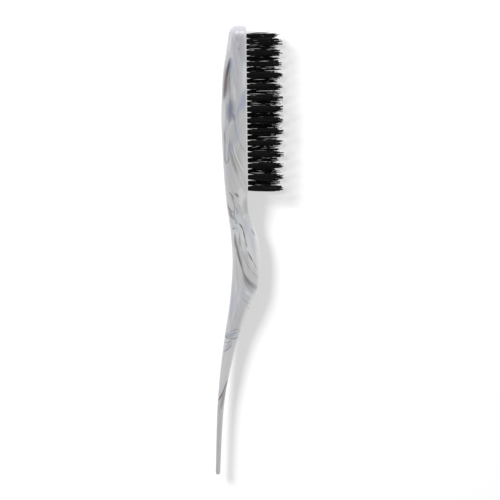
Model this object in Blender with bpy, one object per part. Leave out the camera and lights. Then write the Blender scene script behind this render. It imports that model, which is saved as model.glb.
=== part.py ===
"""Teasing brush: a one-piece moulded handle and three staggered rows of stapled bristle tufts.

The brush lies on one cheek of its head. While it is modelled, X = 0 is the bristle face, Y = 0 the
tip of the tail and Z = 0 the middle plane. +X is the way the bristles point, +Y runs from the tail
to the head, and +Z is across the width. At the end everything hangs from one empty, which puts the
origin on the resting plane under the middle of the brush.

Lengths are written in millimetres and turned to metres by MM where a mesh is made.
"""

import math
import random

import bmesh
import bpy
from mathutils import Matrix, Vector

MM = 0.001

# Overall sizes
HEAD_LENGTH = 89.0  # tip of the head to the heel, where the flat bristle face ends
HANDLE_LENGTH = 136.0  # heel to the tip of the tail
HEAD_WIDTH = 15.5
HEAD_DEPTH = 13.0  # bristle face to the crown of the back
BRISTLE_LENGTH = 18.2  # longest strand, measured from the bristle face
SHORT_BRISTLE_LENGTH = 14.2  # shortest strand

# Handle
NECK_DEPTH = 10.9  # bristle face to the back, at the heel
NECK_WIDTH = 10.6
GRIP_DEPTH = 14.1
GRIP_WIDTH = 12.6
GRIP_SWELL = 5.9  # how far the belly of the grip stands forward of the bristle face
SHOULDER_DEPTH = 7.1  # where the grip has tapered to half its depth
SHOULDER_WIDTH = 7.4
TAIL_THICKNESS = 2.3
TAIL_WIDTH = 2.6
TAIL_SET_BACK = 15.5  # bristle face back to the front of the tail's tip
CHEEK_DEPTH = 7.0  # flat side wall, from the bristle face to where the back starts to round
FACE_EDGE_RADIUS = 0.8
TIP_FRONT_RADIUS = 1.9  # rounding of the head's tip into the bristle face
TIP_BACK_LENGTH = 5.0  # how far from the tip the back starts to turn over
TIP_BACK_DEPTH = 8.9  # depth of the head there

# Tufts and their sockets
TUFTS_PER_ROW = 14
TIP_MARGIN = 5.3  # tip of the head to the first tuft of the middle row
HEEL_MARGIN = 7.2  # heel to the last tuft of the outer rows
CHEEK_MARGIN = 3.15  # cheek to the middle of an outer row
TUFT_DIAMETER = 2.0
TUFT_GAP = 0.15  # round the tuft in its socket
SOCKET_DEPTH = 5.6
FLOOR_GAP = 0.3  # under the folded end of the tuft
SPLIT_HEIGHT = 1.2  # above the bristle face, where the packed bundle opens into strands
TUFT_SPREAD = 1.45  # strand tips stand this many times further out than they start
STRAND_TAPER = 0.85  # width of a strand's tip, as a share of its root
STRAND_LEAN = 0.12  # furthest that a strand's tip strays

# Flat anchor wire, over which each tuft is folded and which bites into the socket's wall
ANCHOR_BITE = 0.3  # how far each end stands out of the tuft, into the wall
ANCHOR_THICKNESS = 0.3
ANCHOR_HEIGHT = 1.5
ANCHOR_TURN = 30.0  # degrees from the length of the brush, so that the rows don't split the head

# Stretches of the length whose rings are spaced alike, as shares of the handle or of the head
TAPER_START = 0.03
TAPER_END = 0.39
HEEL_END = 0.13
HEAD_END = 0.85

# Fineness of the meshes
ARC_STEPS = 3  # the rounded edge of the bristle face
BACK_STEPS = 7  # a quarter of the back
TIP_STEPS = 7  # the round tip of the head
TAIL_STEPS = 3  # the round tip of the tail
TAPER_STEPS = 9  # tail to shoulder
GRIP_STEPS = 24
HEEL_STEPS = 5
HEAD_STEPS = 8
TUFT_SIDES = 12
SHARP_EDGE = 32.0  # degrees between two faces, past which the edge is shaded sharp
SOCKET_ARC_STEPS = 5  # each side of a socket, between the anchor's grooves
STRAND_PATTERNS = 4  # different tufts, which are then dealt out along the rows

TOTAL_LENGTH = HANDLE_LENGTH + HEAD_LENGTH
HALF_WIDTH = HEAD_WIDTH / 2
TIP_CENTRE = TOTAL_LENGTH - HALF_WIDTH  # centre of the head's half-round tip, along Y
TUFT_PITCH = (HEAD_LENGTH - TIP_MARGIN - HEEL_MARGIN) / (TUFTS_PER_ROW - 0.5)
OUTER_ROW = HALF_WIDTH - CHEEK_MARGIN
TUFT_RADIUS = TUFT_DIAMETER / 2
ANCHOR_LENGTH = TUFT_DIAMETER + 2 * ANCHOR_BITE
SOCKET_RADIUS = TUFT_RADIUS + TUFT_GAP


def along_handle(share):
    """Height of a point of the handle, from 0 at the tip of the tail to 1 at the heel."""
    return share * HANDLE_LENGTH


def along_head(share):
    """Height of a point of the head, from 0 at the heel to 1 at the tip."""
    return HANDLE_LENGTH + share * HEAD_LENGTH


GRIP_BACK = GRIP_SWELL - GRIP_DEPTH
TAIL_BACK = -TAIL_SET_BACK - TAIL_THICKNESS
SHOULDER_FRONT = (GRIP_SWELL - TAIL_SET_BACK) / 2 - 0.6

# Side view. Each rail is (height, X) from the tail up.
BACK_RAIL = (
    (along_handle(0.00), TAIL_BACK),
    (along_handle(0.22), TAIL_BACK + 1.05),
    (along_handle(TAPER_END), TAIL_BACK + 3.0),
    (along_handle(0.51), SHOULDER_FRONT - SHOULDER_DEPTH),
    (along_handle(0.66), GRIP_BACK - 1.2),
    (along_handle(0.79), GRIP_BACK),
    (along_handle(0.89), GRIP_BACK - 0.7),
    (along_handle(1.00), -NECK_DEPTH),
    (along_head(0.17), -NECK_DEPTH - 0.55 * (HEAD_DEPTH - NECK_DEPTH)),
    (along_head(0.48), -HEAD_DEPTH),
    (along_head(0.70), -HEAD_DEPTH + 0.85),
    (TOTAL_LENGTH - TIP_BACK_LENGTH, -TIP_BACK_DEPTH),
)
FRONT_RAIL = (
    (along_handle(0.00), -TAIL_SET_BACK),
    (along_handle(0.15), -TAIL_SET_BACK + 1.1),
    (along_handle(0.27), -TAIL_SET_BACK + 2.6),
    (along_handle(TAPER_END), SHOULDER_FRONT - 4.3),
    (along_handle(0.51), SHOULDER_FRONT),
    (along_handle(0.63), GRIP_SWELL - 4.2),
    (along_handle(0.70), GRIP_SWELL - 0.9),
    (along_handle(0.80), GRIP_SWELL),
    (along_handle(0.85), GRIP_SWELL - 0.6),
    (along_handle(0.93), GRIP_SWELL - 3.85),
    (along_handle(0.985), 0.1),
    (along_handle(1.00), 0.0),
)
# Face view: (height, half the width).
WIDTH_RAIL = (
    (along_handle(0.00), TAIL_WIDTH / 2),
    (along_handle(0.22), TAIL_WIDTH / 2 + 0.3),
    (along_handle(TAPER_END), SHOULDER_WIDTH / 2 - 1.1),
    (along_handle(0.51), SHOULDER_WIDTH / 2),
    (along_handle(0.66), GRIP_WIDTH / 2 - 0.5),
    (along_handle(0.78), GRIP_WIDTH / 2),
    (along_handle(0.88), NECK_WIDTH / 2 + 0.3),
    (along_handle(0.95), NECK_WIDTH / 2),
    (along_handle(1.00), (NECK_WIDTH + HEAD_WIDTH) / 4 - 0.2),
    (along_head(0.06), HALF_WIDTH - 0.35),
    (along_head(0.12), HALF_WIDTH),
    (along_head(0.30), HALF_WIDTH),
)
FLAT_FROM = along_handle(0.91)  # the oval neck starts to turn into the flat-faced head


def on_rail(rail, height):
    """Value of a rail at a height, on a smooth curve through its points that doesn't overshoot them."""
    if height <= rail[0][0]:
        return rail[0][1]
    if height >= rail[-1][0]:
        return rail[-1][1]
    slopes = [(v1 - v0) / (h1 - h0) for (h0, v0), (h1, v1) in zip(rail, rail[1:])]
    tangents = [slopes[0]]
    for below, above in zip(slopes, slopes[1:]):
        tangents.append(2 * below * above / (below + above) if below * above > 0 else 0.0)
    tangents.append(slopes[-1])
    i = max(n for n, (h, _) in enumerate(rail[:-1]) if h <= height)
    (h0, v0), (h1, v1) = rail[i], rail[i + 1]
    span = h1 - h0
    t = (height - h0) / span
    smooth = t * t * (3 - 2 * t)
    return (
        v0 * (1 - smooth)
        + v1 * smooth
        + span * t * (1 - t) * (tangents[i] * (1 - t) - tangents[i + 1] * t)
    )


def smooth_step(low, high, value):
    """0 below low, 1 above high, and an even ramp between them."""
    t = min(1.0, max(0.0, (value - low) / (high - low)))
    return t * t * (3 - 2 * t)


def turned_over(height, end, radius):
    """How much of a section is left this close to a rounded end: 1 inside it and 0 at its tip."""
    t = min(1.0, max(0.0, (height - (end - radius)) / radius))
    return math.sqrt(max(0.0, 1 - t * t))


def limits(height):
    """(back X, front X, half width) of the handle's section at a height."""
    back = on_rail(BACK_RAIL, height)
    front = on_rail(FRONT_RAIL, height)
    half_width = on_rail(WIDTH_RAIL, height)
    # The head's tip: half-round in the face view, rounded over in the side view.
    half_width *= turned_over(height, TOTAL_LENGTH, HALF_WIDTH)
    front -= TIP_FRONT_RADIUS * (1 - turned_over(height, TOTAL_LENGTH, TIP_FRONT_RADIUS))
    crown = TIP_BACK_DEPTH * 0.5
    back += crown * (1 - turned_over(height, TOTAL_LENGTH, TIP_BACK_LENGTH))
    # The tail's tip: a dome.
    left = turned_over(-height, 0.0, TAIL_THICKNESS / 2)
    middle = (back + front) / 2
    return (
        middle + (back - middle) * left,
        middle + (front - middle) * left,
        half_width * left,
    )


def head_section(back, front, half_width):
    """Half of the head's section, face to back: flat face, rounded edge, flat cheek, oval back."""
    depth = front - back
    edge = min(FACE_EDGE_RADIUS, 0.45 * half_width, 0.2 * depth)
    cheek = front - min(CHEEK_DEPTH, 0.6 * depth)
    points = [(front, 0.0)]
    for step in range(ARC_STEPS + 1):
        turn = math.pi / 2 * step / ARC_STEPS
        points.append(
            (front - edge + edge * math.cos(turn), half_width - edge + edge * math.sin(turn))
        )
    for step in range(BACK_STEPS + 1):
        turn = math.pi / 2 * step / BACK_STEPS
        points.append((cheek - (cheek - back) * math.sin(turn), half_width * math.cos(turn)))
    return points


def oval_section(back, front, half_width, count):
    """Half of the grip's section, face to back, with the same number of points."""
    middle = (front + back) / 2
    return [
        (
            middle + (front - middle) * math.cos(math.pi * i / (count - 1)),
            half_width * math.sin(math.pi * i / (count - 1)),
        )
        for i in range(count)
    ]


def ring_at(height):
    """The handle's section at a height, as a closed ring of points in metres."""
    back, front, half_width = limits(height)
    flat = smooth_step(FLAT_FROM, HANDLE_LENGTH, height)
    head = head_section(back, front, half_width)
    oval = oval_section(back, front, half_width, len(head))
    half = [
        (xo + (xh - xo) * flat, zo + (zh - zo) * flat)
        for (xo, zo), (xh, zh) in zip(oval, head)
    ]
    ring = half + [(x, -z) for x, z in reversed(half[1:-1])]
    return [Vector((x, height, z)) * MM for x, z in ring]


def spaced(low, high, steps):
    """Evenly spaced heights from low up to, but not at, high."""
    return [low + (high - low) * n / steps for n in range(steps)]


def ring_heights():
    """Heights of the rings, close together where the outline turns."""
    tail = [
        TAIL_THICKNESS / 2 * (1 - math.cos(math.pi / 2 * (n + 0.4) / TAIL_STEPS))
        for n in range(TAIL_STEPS)
    ]
    tail += spaced(along_handle(TAPER_START), along_handle(TAPER_END), TAPER_STEPS)
    grip = spaced(along_handle(TAPER_END), HANDLE_LENGTH, GRIP_STEPS)
    heel = spaced(HANDLE_LENGTH, along_head(HEEL_END), HEEL_STEPS)
    head = spaced(along_head(HEEL_END), along_head(HEAD_END), HEAD_STEPS)
    tip = [
        TIP_CENTRE + HALF_WIDTH * math.sin(math.pi / 2 * (n / TIP_STEPS) ** 0.8)
        for n in range(TIP_STEPS)
    ]
    return tail + grip + heel + head + tip + [TOTAL_LENGTH - 0.02]


def make_object(name, mesh, collection, material=None):
    """A new object in a collection, with its material."""
    made = bpy.data.objects.new(name, mesh)
    if material:
        mesh.materials.clear()
        mesh.materials.append(material)
    collection.objects.link(made)
    return made


def shade(mesh):
    """Smooth shading that stops at the sharp edges."""
    mesh.shade_smooth()
    mesh.set_sharp_from_angle(angle=math.radians(SHARP_EDGE))


def mesh_from(bm, name):
    """A shaded mesh made from a bmesh, which is freed."""
    bmesh.ops.recalc_face_normals(bm, faces=bm.faces)
    mesh = bpy.data.meshes.new(name)
    bm.to_mesh(mesh)
    bm.free()
    shade(mesh)
    return mesh


def make_material(name, colour, roughness, metallic=0.0):
    """A Principled material of one colour."""
    material = bpy.data.materials.new(name)
    material.use_nodes = True
    shader = material.node_tree.nodes["Principled BSDF"]
    shader.inputs["Base Color"].default_value = (*colour, 1.0)
    shader.inputs["Roughness"].default_value = roughness
    shader.inputs["Metallic"].default_value = metallic
    material.diffuse_color = (*colour, 1.0)
    return material


def socket_places():
    """(row, number, height, Z) of every tuft. The middle row starts half a pitch nearer the tip."""
    first = TOTAL_LENGTH - TIP_MARGIN
    for row, z, offset in (("left", OUTER_ROW, 0.5), ("middle", 0.0, 0.0), ("right", -OUTER_ROW, 0.5)):
        for n in range(TUFTS_PER_ROW):
            yield row, n + 1, first - (n + offset) * TUFT_PITCH, z


def socket_outline():
    """Outline of a socket in its own plane: a round hole with a groove at each end of the anchor."""
    groove_end = ANCHOR_LENGTH / 2 + TUFT_GAP
    groove_half = ANCHOR_THICKNESS / 2 + TUFT_GAP
    opening = math.asin(groove_half / SOCKET_RADIUS)
    half = [(groove_end, -groove_half), (groove_end, groove_half)]
    for step in range(SOCKET_ARC_STEPS + 1):
        turn = opening + (math.pi - 2 * opening) * step / SOCKET_ARC_STEPS
        half.append((SOCKET_RADIUS * math.cos(turn), SOCKET_RADIUS * math.sin(turn)))
    return half + [(-u, -v) for u, v in half]


def make_socket_cutters(collection):
    """One mesh of all the socket shapes, as prisms that run out past the bristle face."""
    bm = bmesh.new()
    turn = math.radians(ANCHOR_TURN)
    outline = [
        (u * math.cos(turn) - v * math.sin(turn), u * math.sin(turn) + v * math.cos(turn))
        for u, v in socket_outline()
    ]
    for _, _, height, z in socket_places():
        floor = [
            bm.verts.new(Vector((-SOCKET_DEPTH, height + u, z + v)) * MM) for u, v in outline
        ]
        prism = bmesh.ops.extrude_face_region(bm, geom=[bm.faces.new(floor)])
        top = [item for item in prism["geom"] if isinstance(item, bmesh.types.BMVert)]
        bmesh.ops.translate(bm, verts=top, vec=Vector((2 * SOCKET_DEPTH, 0, 0)) * MM)
    cutters = make_object("socket_cutters", mesh_from(bm, "socket_cutters"), collection)
    cutters.hide_render = True
    cutters.display_type = "WIRE"
    return cutters


def make_handle(collection, cutters, material):
    """The moulded handle: a loft through the rings, with the sockets cut into its bristle face."""
    bm = bmesh.new()
    rings = [[bm.verts.new(point) for point in ring_at(height)] for height in ring_heights()]
    for lower, upper in zip(rings, rings[1:]):
        for i in range(len(lower)):
            j = (i + 1) % len(lower)
            bm.faces.new((lower[i], lower[j], upper[j], upper[i]))
    bm.faces.new(rings[0])
    bm.faces.new(rings[-1])
    # The bristle face and the cheeks are flat, so each becomes a single face.
    bmesh.ops.dissolve_limit(
        bm, angle_limit=math.radians(0.05), verts=bm.verts, edges=bm.edges
    )
    handle = make_object("handle", mesh_from(bm, "handle"), collection, material)
    sockets = handle.modifiers.new("sockets", "BOOLEAN")
    sockets.operation = "DIFFERENCE"
    sockets.solver = "EXACT"
    sockets.object = cutters
    graph = bpy.context.evaluated_depsgraph_get()
    drilled = bpy.data.meshes.new_from_object(handle.evaluated_get(graph))
    handle.modifiers.clear()
    handle.data = drilled
    shade(drilled)


def raise_cap(bm, cap, x, radius, keep_below=False):
    """Extrudes a tuft's end face to a new X and radius, and returns the new end face."""
    grown = bmesh.ops.extrude_face_region(bm, geom=[cap])
    if not keep_below:
        bmesh.ops.delete(bm, geom=[cap], context="FACES_ONLY")
    cap = next(item for item in grown["geom"] if isinstance(item, bmesh.types.BMFace))
    for vert in cap.verts:
        spoke = Vector((0, vert.co.y, vert.co.z)).normalized() * radius * MM
        vert.co = Vector((x * MM, spoke.y, spoke.z))
    return cap


def add_anchor_ends(bm, low, high):
    """Pulls the two ends of the anchor wire out of the tuft's sides, between two heights."""
    middle = (low + high) / 2 * MM
    half_facet = math.pi / TUFT_SIDES
    rim = TUFT_RADIUS * math.sin(half_facet) - ANCHOR_THICKNESS / 2
    reach = ANCHOR_LENGTH / 2 - TUFT_RADIUS * math.cos(half_facet)
    sides = [
        face
        for face in bm.faces
        if abs(face.normal.y) > math.cos(half_facet / 2)
        and abs(face.calc_center_median().x - middle) < rim * MM
    ]
    for side in sides:
        outward = side.normal.copy()
        bmesh.ops.inset_individual(bm, faces=[side], thickness=rim * MM)
        end = bmesh.ops.extrude_discrete_faces(bm, faces=[side])["faces"][0]
        bmesh.ops.translate(bm, verts=end.verts, vec=outward * reach * MM)


def split_into_cells(bm, cap):
    """Divides the tuft's end face into six cells round a six-sided core, and returns all seven."""
    bmesh.ops.inset_region(bm, faces=[cap], thickness=0.55 * TUFT_RADIUS * MM)
    rim = [loop.link_loop_radial_next.face for loop in cap.loops]
    for first, second in zip(rim[::2], rim[1::2]):
        shared = [edge for edge in first.edges if edge in second.edges]
        bmesh.ops.dissolve_edges(bm, edges=shared)
    halfway = [vert for vert in cap.verts if len(vert.link_edges) == 2]
    bmesh.ops.dissolve_verts(bm, verts=halfway)
    return [cap] + [loop.link_loop_radial_next.face for loop in cap.loops]


def draw_strands(bm, cells, chance):
    """Draws each cell of the tuft's end out as a strand of its own length, leaning a little."""
    for strand in bmesh.ops.extrude_discrete_faces(bm, faces=cells)["faces"]:
        middle = strand.calc_center_median()
        length = chance.uniform(SHORT_BRISTLE_LENGTH, BRISTLE_LENGTH)
        lean = Vector([chance.uniform(-STRAND_LEAN, STRAND_LEAN) for _ in range(2)])
        tip = Vector((length, 0, 0)) * MM
        tip.yz = middle.yz * TUFT_SPREAD + lean * MM
        for vert in strand.verts:
            vert.co = tip + STRAND_TAPER * (vert.co - middle)


def make_tuft_mesh(number, material):
    """A tuft about the X axis: folded end, anchor wire, packed bundle and seven strands."""
    bm = bmesh.new()
    fold = -SOCKET_DEPTH + FLOOR_GAP
    anchor_low = fold + 0.7
    anchor_high = anchor_low + ANCHOR_HEIGHT
    on_x = Matrix.Rotation(math.pi / 2, 4, "Y")
    half_side = Matrix.Rotation(math.pi / TUFT_SIDES, 4, "X")
    bmesh.ops.create_circle(
        bm, cap_ends=True, segments=TUFT_SIDES, radius=0.6 * TUFT_RADIUS * MM, matrix=half_side @ on_x
    )
    bmesh.ops.translate(bm, verts=bm.verts, vec=(fold * MM, 0, 0))
    cap = raise_cap(bm, bm.faces[:][0], anchor_low, TUFT_RADIUS, keep_below=True)
    cap = raise_cap(bm, cap, anchor_high, TUFT_RADIUS)
    cap = raise_cap(bm, cap, SPLIT_HEIGHT, TUFT_RADIUS)
    bmesh.ops.recalc_face_normals(bm, faces=bm.faces)
    add_anchor_ends(bm, anchor_low, anchor_high)
    draw_strands(bm, split_into_cells(bm, cap), random.Random(number))
    mesh = mesh_from(bm, f"tuft_pattern_{number}")
    mesh.materials.append(material)
    return mesh


def make_tufts(collection, material):
    """All the tufts, dealt from a few patterns and turned so that no two neighbours look alike."""
    patterns = [make_tuft_mesh(number, material) for number in range(STRAND_PATTERNS)]
    for index, (row, number, height, z) in enumerate(socket_places()):
        tuft = make_object(f"tuft_{row}_{number:02d}", patterns[index % STRAND_PATTERNS], collection)
        tuft.location = Vector((0, height, z)) * MM
        half_turn = 180.0 * (index // STRAND_PATTERNS % 2)
        tuft.rotation_euler.x = math.radians(ANCHOR_TURN + half_turn)


def hang_from_origin(pieces):
    """Parents every piece to an empty placed so that the origin is under the brush's middle."""
    bpy.context.view_layer.update()
    corners = [
        piece.matrix_world @ Vector(corner) for piece in pieces for corner in piece.bound_box
    ]
    low = Vector(min(corner[axis] for corner in corners) for axis in range(3))
    high = Vector(max(corner[axis] for corner in corners) for axis in range(3))
    hanger = bpy.data.objects.new("brush_origin", None)
    bpy.context.scene.collection.objects.link(hanger)
    hanger.location = (-(low.x + high.x) / 2, -(low.y + high.y) / 2, -low.z)
    for piece in pieces:
        piece.parent = hanger


def main():
    for old in list(bpy.data.objects):
        bpy.data.objects.remove(old)
    brush = bpy.data.collections.new("teasing_brush")
    tools = bpy.data.collections.new("cutters")
    for collection in (brush, tools):
        bpy.context.scene.collection.children.link(collection)
    resin = make_material("marbled_resin", (0.56, 0.57, 0.60), 0.3)
    nylon = make_material("black_nylon", (0.012, 0.011, 0.012), 0.4)
    cutters = make_socket_cutters(tools)
    make_handle(brush, cutters, resin)
    make_tufts(brush, nylon)
    hang_from_origin([*brush.objects, cutters])


main()
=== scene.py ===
"""Looks of the teasing brush: marbled handle, folded nylon tufts, wire anchors and a plain studio.

Lengths are in millimetres, measured from the brush's own datum: X = 0 is the bristle face, Y = 0 the
tip of the tail and Z = 0 the middle plane. Datum turns them to the frame's metres.
"""

import logging
import math
import random
from contextlib import contextmanager
from dataclasses import dataclass, field
from enum import Enum
from typing import Any, Callable, Iterable, Iterator, Sequence

import bmesh
import bpy
import numpy as np
from mathutils import Matrix, Vector


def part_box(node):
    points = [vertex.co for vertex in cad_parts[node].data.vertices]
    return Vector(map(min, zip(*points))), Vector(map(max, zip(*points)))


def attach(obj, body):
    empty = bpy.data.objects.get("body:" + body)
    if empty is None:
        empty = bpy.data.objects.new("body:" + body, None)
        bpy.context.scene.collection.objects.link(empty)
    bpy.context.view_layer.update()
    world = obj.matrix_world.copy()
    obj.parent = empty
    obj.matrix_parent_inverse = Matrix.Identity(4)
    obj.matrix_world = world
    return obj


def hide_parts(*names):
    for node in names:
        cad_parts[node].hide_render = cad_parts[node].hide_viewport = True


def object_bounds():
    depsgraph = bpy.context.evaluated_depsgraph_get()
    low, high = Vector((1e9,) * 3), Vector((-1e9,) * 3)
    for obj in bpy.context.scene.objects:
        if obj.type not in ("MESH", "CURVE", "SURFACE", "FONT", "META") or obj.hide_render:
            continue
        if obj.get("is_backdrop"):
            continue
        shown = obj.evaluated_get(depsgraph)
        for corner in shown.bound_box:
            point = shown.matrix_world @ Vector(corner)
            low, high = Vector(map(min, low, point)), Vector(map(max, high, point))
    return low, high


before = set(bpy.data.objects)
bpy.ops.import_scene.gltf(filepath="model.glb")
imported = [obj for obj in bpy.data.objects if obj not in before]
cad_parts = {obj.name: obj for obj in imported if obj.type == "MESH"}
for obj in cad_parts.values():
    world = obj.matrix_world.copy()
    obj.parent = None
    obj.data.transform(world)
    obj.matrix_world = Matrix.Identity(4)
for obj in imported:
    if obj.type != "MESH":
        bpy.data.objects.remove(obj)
CAD_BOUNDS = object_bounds()

MM = 0.001
BODY = "root"
# Inputs of a node that mixes colours, and its output
SHARE, UNDER, OVER, MIXED = 0, 6, 7, 2
SMOOTH = {"interpolation_type": "SMOOTHSTEP"}
Point = tuple[float, float]
Triple = tuple[float, float, float]
Piece = bpy.types.Object
Tree = bpy.types.NodeTree
Socket = bpy.types.NodeSocket
Material = bpy.types.Material
Layer = tuple[Socket, str]  # how much of a layer of colour shows, and the colour
log = logging.getLogger("teasing_brush")


# -------------------------------------------------------------------------------------------- helpers


def linear(colour: str) -> tuple[float, float, float, float]:
    """Turns an sRGB hex colour to linear values.

    Args:
        colour: the colour as "#rrggbb".

    Returns:
        Linear red, green and blue, and an alpha of 1.
    """
    parts = [int(colour[i : i + 2], 16) / 255 for i in (1, 3, 5)]
    red, green, blue = (c / 12.92 if c <= 0.04045 else ((c + 0.055) / 1.055) ** 2.4 for c in parts)
    return red, green, blue, 1.0


def wire(tree: Tree, kind: str, inputs: dict[Any, Any], output: Any = 0, **settings: Any) -> Socket:
    """Adds a node, sets it up and links it.

    Args:
        tree: the tree it goes in.
        kind: the node's type.
        inputs: socket name or number to a value, or to the socket that feeds it.
        output: name or number of the output to return.
        settings: the node's own properties.

    Returns:
        The output socket asked for.
    """
    node = tree.nodes.new(kind)
    for name, value in settings.items():
        setattr(node, name, value)
    for key, value in inputs.items():
        if isinstance(value, Socket):
            tree.links.new(value, node.inputs[key])
        else:
            node.inputs[key].default_value = value
    return node.outputs[output] if node.outputs else None


def begin_material(name: str, fixed: dict[str, Any]) -> tuple[Material, Any]:
    """Starts a material with a single shader.

    Args:
        name: the material's name.
        fixed: the shader's inputs that are the same all over the surface.

    Returns:
        The material, and the inputs of its shader.
    """
    made = bpy.data.materials.new(name)
    made.use_nodes = True
    inputs = made.node_tree.nodes["Principled BSDF"].inputs
    for key, value in fixed.items():
        inputs[key].default_value = value
    return made, inputs


def begin_piece(name: str, primitive: Callable[..., Any], **settings: Any) -> Piece:
    """Starts a piece from a primitive, with nothing else selected and its place in its mesh.

    Args:
        name: name of the piece and of its mesh.
        primitive: the operator that adds the primitive.
        settings: the primitive's size, place, turn and steps.

    Returns:
        The new piece.
    """
    bpy.ops.object.select_all(action="DESELECT")
    primitive(**settings)
    piece = bpy.context.object
    piece.name = piece.data.name = name
    bpy.ops.object.transform_apply(location=True, rotation=True, scale=True)
    return piece


def pick_only(piece: Piece) -> None:
    """Selects one piece alone and makes it active.

    Args:
        piece: the piece.
    """
    bpy.ops.object.select_all(action="DESELECT")
    piece.select_set(True)
    bpy.context.view_layer.objects.active = piece


@contextmanager
def editing(piece: Piece, mode: str = "FACE") -> Iterator[bmesh.types.BMesh]:
    """Opens a piece in edit mode with nothing selected, and closes it again.

    Args:
        piece: the piece to edit.
        mode: what is selected in it, "VERT", "EDGE" or "FACE".

    Yields:
        Its mesh, for selecting by place or normal.
    """
    pick_only(piece)
    bpy.ops.object.mode_set(mode="EDIT")
    bpy.ops.mesh.select_mode(type=mode)
    bpy.ops.mesh.select_all(action="DESELECT")
    yield bmesh.from_edit_mesh(piece.data)
    bpy.ops.object.mode_set(mode="OBJECT")


def cut_away(piece: Piece, cutter: Piece) -> None:
    """Cuts a piece with another, which is used up.

    Args:
        piece: the piece to cut.
        cutter: what is taken out of it.
    """
    modifier = piece.modifiers.new("cut", "BOOLEAN")
    modifier.operation = "DIFFERENCE"
    modifier.solver = "EXACT"
    modifier.object = cutter
    pick_only(piece)
    bpy.ops.object.modifier_apply(modifier=modifier.name)
    bpy.data.objects.remove(cutter)


def settle(piece: Piece, sharp: float) -> None:
    """Puts a piece's place in its mesh and shades it smooth.

    Args:
        piece: the piece.
        sharp: the angle between two faces, in degrees, past which their edge stays sharp.
    """
    pick_only(piece)
    bpy.ops.object.transform_apply(location=True, rotation=True, scale=True)
    bpy.ops.object.shade_smooth_by_angle(angle=math.radians(sharp))


def spots(piece: Piece) -> np.ndarray:
    """Reads the places of a piece's points.

    Args:
        piece: the piece.

    Returns:
        One row for each point, in metres.
    """
    places = np.empty(3 * len(piece.data.vertices), np.float32)
    piece.data.vertices.foreach_get("co", places)
    return places.reshape(-1, 3)


def gathered(name: str, copies: Iterable[tuple[Piece, np.ndarray]]) -> Piece:
    """Gathers copies of patterns into one object.

    Args:
        name: name of the new object.
        copies: each copy's pattern, and the places that its points take, in metres.

    Returns:
        The new object. The patterns stay.
    """
    mesh = bmesh.new()
    for pattern, places in copies:
        before = len(mesh.verts)
        mesh.from_mesh(pattern.data)
        mesh.verts.ensure_lookup_table()
        for vert, place in zip(mesh.verts[before:], places):
            vert.co = place
    data = bpy.data.meshes.new(name)
    mesh.to_mesh(data)
    mesh.free()
    made = bpy.data.objects.new(name, data)
    bpy.context.scene.collection.objects.link(made)
    return made


def smooth_step(low: float, high: float, value: float) -> float:
    """Ramps evenly from 0 to 1.

    Args:
        low: where the ramp starts.
        high: where it ends.
        value: where to read it.

    Returns:
        0 below low, 1 above high, and a share between them.
    """
    t = min(1.0, max(0.0, (value - low) / (high - low)))
    return t * t * (3 - 2 * t)


# ---------------------------------------------------------------------------------- form of the brush


class Row(Enum):
    """The three rows of tufts, by where they stand across the width."""

    LEFT = "left"
    MIDDLE = "middle"
    RIGHT = "right"


@dataclass(frozen=True)
class TuftPlace:
    """Where a tuft stands: its row, its number in it from the tip, and its Y and Z on the brush."""

    row: Row
    number: int
    y: float
    z: float

    @property
    def tag(self) -> str:
        """What the names of the pieces here end in, such as "left_01"."""
        return f"{self.row.value}_{self.number:02d}"


@dataclass(frozen=True)
class BrushSizes:
    """Driving sizes of the brush, the same as the frame's."""

    head_length: float = 89.0
    handle_length: float = 136.0
    head_width: float = 15.5
    head_depth: float = 13.0
    neck_depth: float = 10.9
    neck_width: float = 10.6
    grip_depth: float = 14.1
    grip_width: float = 12.6
    grip_swell: float = 5.9
    shoulder_depth: float = 7.1
    shoulder_width: float = 7.4
    tail_thickness: float = 2.3
    tail_width: float = 2.6
    tail_set_back: float = 15.5
    cheek_depth: float = 7.0
    face_edge_radius: float = 0.8
    tip_front_radius: float = 1.9
    tip_back_length: float = 5.0
    tip_back_depth: float = 8.9
    tufts_per_row: int = 14
    tip_margin: float = 5.3
    heel_margin: float = 7.2
    cheek_margin: float = 3.15
    tuft_diameter: float = 2.0
    tuft_gap: float = 0.15
    socket_depth: float = 5.6
    anchor_length: float = 2.6
    anchor_thickness: float = 0.3
    anchor_height: float = 1.5
    anchor_bottom: float = -4.6
    anchor_turn: float = 30.0

    @property
    def total(self) -> float:
        """Length of the whole brush."""
        return self.head_length + self.handle_length

    @property
    def half_width(self) -> float:
        """Half the head's width."""
        return self.head_width / 2

    @property
    def pitch(self) -> float:
        """Distance between two tufts of a row."""
        run = self.head_length - self.tip_margin - self.heel_margin
        return run / (self.tufts_per_row - 0.5)

    def places(self) -> Iterator[TuftPlace]:
        """Goes through the tufts row by row, each from the tip of the head.

        Yields:
            Each tuft's place.
        """
        first = self.total - self.tip_margin
        outer = self.half_width - self.cheek_margin
        rows = ((Row.LEFT, outer, 0.5), (Row.MIDDLE, 0.0, 0.0), (Row.RIGHT, -outer, 0.5))
        for row, z, late in rows:
            for n in range(self.tufts_per_row):
                yield TuftPlace(row, n + 1, first - (n + late) * self.pitch, z)


@dataclass(frozen=True)
class Datum:
    """Where the brush's own zero lies in the frame, in metres."""

    zero: Vector

    @classmethod
    def from_frame(cls, sizes: BrushSizes) -> "Datum":
        """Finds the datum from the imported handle's box.

        Args:
            sizes: the brush's sizes.

        Returns:
            The datum.
        """
        low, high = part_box("handle")
        middle = (low + high) / 2
        x = high.x - sizes.grip_swell * MM
        return cls(Vector((x, middle.y - sizes.total / 2 * MM, middle.z)))

    def at(self, x: float, y: float, z: float) -> Vector:
        """A place in the frame from millimetres on the brush."""
        return self.zero + Vector((x, y, z)) * MM


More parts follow.
